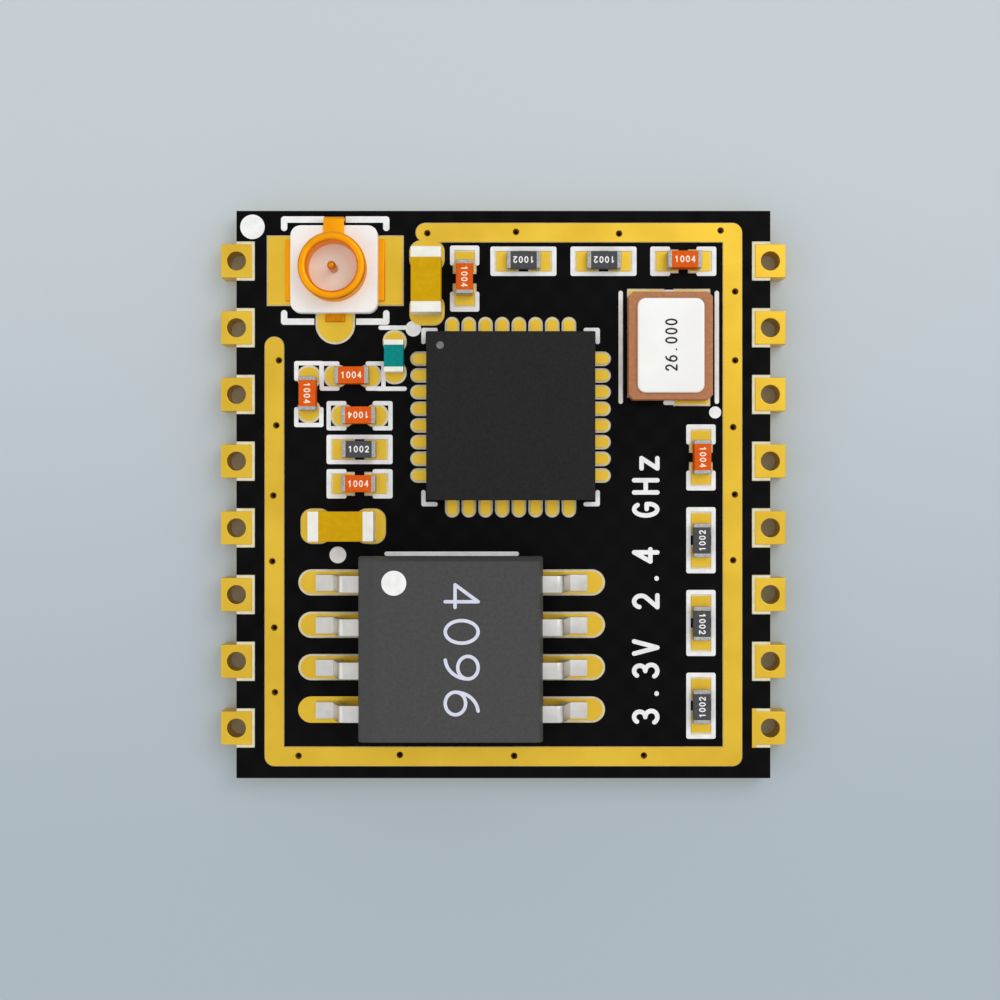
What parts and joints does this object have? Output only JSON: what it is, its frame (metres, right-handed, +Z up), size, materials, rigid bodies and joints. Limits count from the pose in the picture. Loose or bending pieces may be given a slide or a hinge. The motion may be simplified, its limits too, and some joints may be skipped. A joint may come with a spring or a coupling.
{
  "type": "wireless network module",
  "caption": "Flat black circuit board module with gold contacts along two edges, a coaxial antenna socket, radio and memory chips, a crystal and small chip parts on top.",
  "frame": {"origin": "middle of the underside", "axes": "+Z up out of the parts side, +Y towards the end with the antenna socket, +X to the right seen from above"},
  "size_m": [0.017, 0.017, 0.0028],
  "materials": {
    "laminate": "glass-fibre laminate with a sawn edge",
    "solder_mask": "black solder mask, satin",
    "gold": "flat immersion gold over copper",
    "legend_ink": "white screen-printed ink, matt",
    "black_moulding": "black epoxy moulding, fine matt grain",
    "grey_moulding": "dark grey epoxy moulding, fine matt grain",
    "tin": "matt tin plating",
    "brown_ceramic": "unglazed brown ceramic",
    "pale_lid": "pale satin metal lid",
    "quartz": "clear quartz",
    "silver_glue": "silver-filled adhesive",
    "white_plastic": "white moulded plastic",
    "socket_gold": "gold-plated formed sheet",
    "resistor_glaze": "dark grey glaze over ceramic",
    "capacitor_ceramic": "orange ceramic",
    "inductor_ceramic": "teal ceramic",
    "bulk_ceramic": "mustard-yellow ceramic"
  },
  "bodies": {
    "root": {"circuit_board": "laminate", "top_solder_mask": "solder_mask", "bottom_solder_mask": "solder_mask", "ground_ring": "gold", "board_contacts_left": "gold", "board_contacts_right": "gold", "legend": "legend_ink", "radio_chip_body": "black_moulding", "radio_chip_leads": "tin", "radio_chip_heat_pad": "tin", "radio_chip_lands": "gold", "memory_chip_body": "grey_moulding", "memory_chip_leads": "tin", "memory_chip_dot": "legend_ink", "memory_chip_lands": "gold", "crystal_base": "brown_ceramic", "crystal_lid": "pale_lid", "crystal_blank": "quartz", "crystal_glue": "silver_glue", "crystal_terminals": "gold", "crystal_lands": "gold", "antenna_socket_base": "white_plastic", "antenna_socket_shell": "socket_gold", "antenna_socket_pin": "socket_gold", "antenna_socket_lands": "gold", "chip_lands": "gold", "resistor_1_body": "resistor_glaze", "resistor_1_ends": "tin", "resistor_2_body": "resistor_glaze", "resistor_2_ends": "tin", "resistor_3_body": "resistor_glaze", "resistor_3_ends": "tin", "resistor_4_body": "resistor_glaze", "resistor_4_ends": "tin", "resistor_5_body": "resistor_glaze", "resistor_5_ends": "tin", "resistor_6_body": "resistor_glaze", "resistor_6_ends": "tin", "capacitor_1_body": "capacitor_ceramic", "capacitor_1_ends": "tin", "capacitor_2_body": "capacitor_ceramic", "capacitor_2_ends": "tin", "capacitor_3_body": "capacitor_ceramic", "capacitor_3_ends": "tin", "capacitor_4_body": "capacitor_ceramic", "capacitor_4_ends": "tin", "capacitor_5_body": "capacitor_ceramic", "capacitor_5_ends": "tin", "capacitor_6_body": "capacitor_ceramic", "capacitor_6_ends": "tin", "capacitor_7_body": "capacitor_ceramic", "capacitor_7_ends": "tin", "inductor_1_body": "inductor_ceramic", "inductor_1_ends": "tin", "bulk_capacitor_1_body": "bulk_ceramic", "bulk_capacitor_1_ends": "tin", "bulk_capacitor_2_body": "bulk_ceramic", "bulk_capacitor_2_ends": "tin"}
  },
  "joints": []
}
